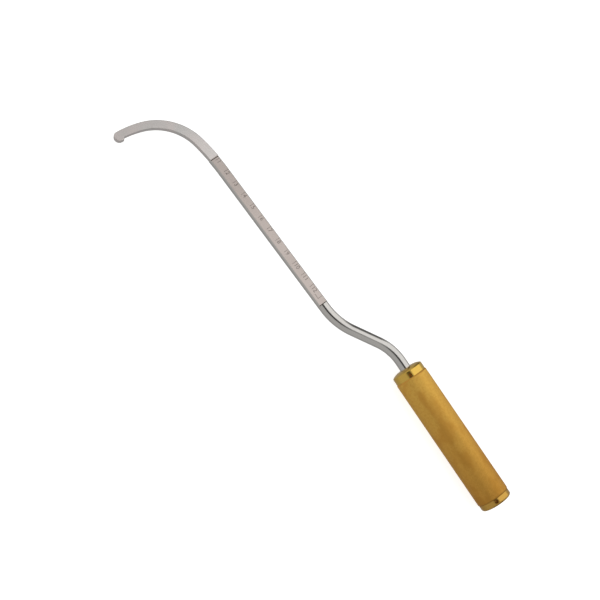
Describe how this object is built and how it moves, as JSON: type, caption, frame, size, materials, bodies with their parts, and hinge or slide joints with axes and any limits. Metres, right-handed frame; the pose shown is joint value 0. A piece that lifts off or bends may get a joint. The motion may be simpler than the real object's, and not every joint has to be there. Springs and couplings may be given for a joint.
{
  "type": "hive tool",
  "caption": "Long hooked hive tool: a cranked steel bar with a graduated flat and a small toe at its tip, held by a grub screw in a knurled brass grip.",
  "frame": {"origin": "centre of the grip's flat butt face", "axes": "+X along the grip's axis towards the hook, +Y the side that the bar is cranked and hooked to, +Z out of the graduated face"},
  "size_m": [0.3587, 0.0934, 0.024],
  "materials": {
    "bar_steel": "satin stainless steel, brighter on the round shank",
    "turned_brass": "turned and polished",
    "knurled_brass": "fine knurl",
    "screw_brass": "dull, browned in the sockets",
    "ring_rubber": "matte"
  },
  "bodies": {
    "handle": {"front_collar": "turned_brass", "front_seal_ring": "ring_rubber", "grip_sleeve": "knurled_brass"},
    "bar": {"tool_bar": "bar_steel"},
    "collar_screw": {"collar_grub_screw": "screw_brass"},
    "cap": {"end_cap": "turned_brass", "rear_seal_ring": "ring_rubber"},
    "cap_screw": {"cap_grub_screw": "screw_brass"}
  },
  "joints": [
    {"name": "collar_screw_travel", "type": "slide", "parent": "handle", "child": "collar_screw", "axis": [0, 0.309, 0.9511], "range_m": [0, 0.0015]},
    {"name": "bar_slide", "type": "slide", "parent": "handle", "child": "bar", "axis": [1, 0, 0], "range_m": [0, 0.104]},
    {"name": "cap_slide", "type": "slide", "parent": "handle", "child": "cap", "axis": [-1, 0, 0], "range_m": [0, 0.02]},
    {"name": "cap_screw_travel", "type": "slide", "parent": "cap", "child": "cap_screw", "axis": [0, 0.309, 0.9511], "range_m": [0, 0.0015]}
  ]
}
